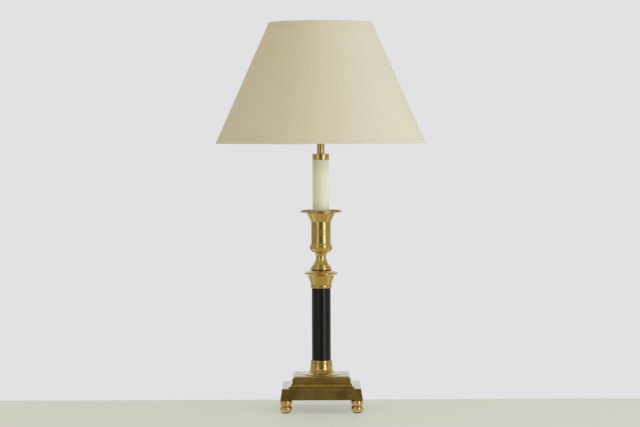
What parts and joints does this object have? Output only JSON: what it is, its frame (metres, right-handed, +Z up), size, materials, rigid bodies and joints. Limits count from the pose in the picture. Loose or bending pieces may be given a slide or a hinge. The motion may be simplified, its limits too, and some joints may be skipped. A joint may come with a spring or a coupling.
{
  "type": "table lamp",
  "caption": "Candlestick table lamp: square stepped brass base on ball feet, black column, candle sleeve and a tapered fabric shade on a harp.",
  "frame": {"origin": "on the standing face, under the middle of the stem", "axes": "+Z up the stem, -Y the front of the square base, +X to the right seen from the front"},
  "size_m": [0.3609, 0.361, 0.6641],
  "materials": {
    "brass": "polished, lightly aged",
    "iron": "rough casting",
    "steel": "zinc plated",
    "black_paint": "satin black enamel",
    "ivory": "satin ivory",
    "black_plastic": "moulded",
    "white_plastic": "stiff sheet",
    "fabric": "plain woven",
    "tape": "woven edging tape",
    "white_paint": "white coated wire",
    "paper": "vulcanised paper",
    "board": "board faced with green felt",
    "glass": "frosted inside",
    "aluminium": "plain"
  },
  "bodies": {
    "stand": {"foot_front_left": "brass", "foot_front_right": "brass", "foot_rear_left": "brass", "foot_rear_right": "brass", "foot_studs": "steel", "base_casting": "brass", "cord_bushing": "black_plastic", "bottom_cover": "board", "base_weight": "iron", "weight_washer": "steel", "lock_washer": "steel", "rod_nut": "steel", "tie_rod": "steel", "base_plate": "brass", "base_flare": "brass", "column_collar": "brass", "column_tube": "black_paint", "capital": "brass", "bell_knop": "brass", "candle_socket": "brass", "drip_pan": "brass", "candle_sleeve": "ivory", "seat_washer": "steel", "pan_locknut": "steel", "candle_cap": "brass", "riser_tube": "brass", "harp_saddle": "brass", "harp_wire": "brass", "harp_block": "brass", "harp_stud": "brass", "holder_cap": "brass", "holder_set_screw": "steel", "holder_shell": "brass", "holder_liner": "paper", "switch_body": "black_plastic", "terminal_screws": "steel", "screw_shell": "aluminium", "centre_contact": "brass"},
    "switch": {"switch_shaft": "steel", "switch_knob": "black_plastic"},
    "bulb": {"bulb_tip": "steel", "bulb_foot": "black_plastic", "bulb_screw_cap": "aluminium", "bulb_glass": "glass", "bulb_stem": "glass"},
    "ferrule_left": {"harp_ferrule_left": "brass"},
    "ferrule_right": {"harp_ferrule_right": "brass"},
    "shade": {"shade_fabric": "fabric", "shade_backing": "white_plastic", "shade_bottom_trim": "tape", "shade_bottom_ring": "white_paint", "shade_top_trim": "tape", "shade_fitter": "white_paint"},
    "finial": {"finial": "brass"}
  },
  "joints": [
    {"name": "switch_turn", "type": "hinge", "parent": "stand", "child": "switch", "pos_m": [0, -0.0275, 0.4861], "axis": [0, -1, 0], "continuous": true},
    {"name": "bulb_turn", "type": "hinge", "parent": "stand", "child": "bulb", "pos_m": [0, 0, 0.4983], "axis": [0, 0, 1], "continuous": true},
    {"name": "ferrule_left_lift", "type": "slide", "parent": "stand", "child": "ferrule_left", "axis": [0, 0, 1], "range_m": [0, 0.012]},
    {"name": "ferrule_right_lift", "type": "slide", "parent": "stand", "child": "ferrule_right", "axis": [0, 0, 1], "range_m": [0, 0.012]},
    {"name": "shade_turn", "type": "hinge", "parent": "stand", "child": "shade", "pos_m": [0, 0, 0.6389], "axis": [0, 0, 1], "continuous": true},
    {"name": "finial_turn", "type": "hinge", "parent": "stand", "child": "finial", "pos_m": [0, 0, 0.6401], "axis": [0, 0, 1], "continuous": true}
  ]
}
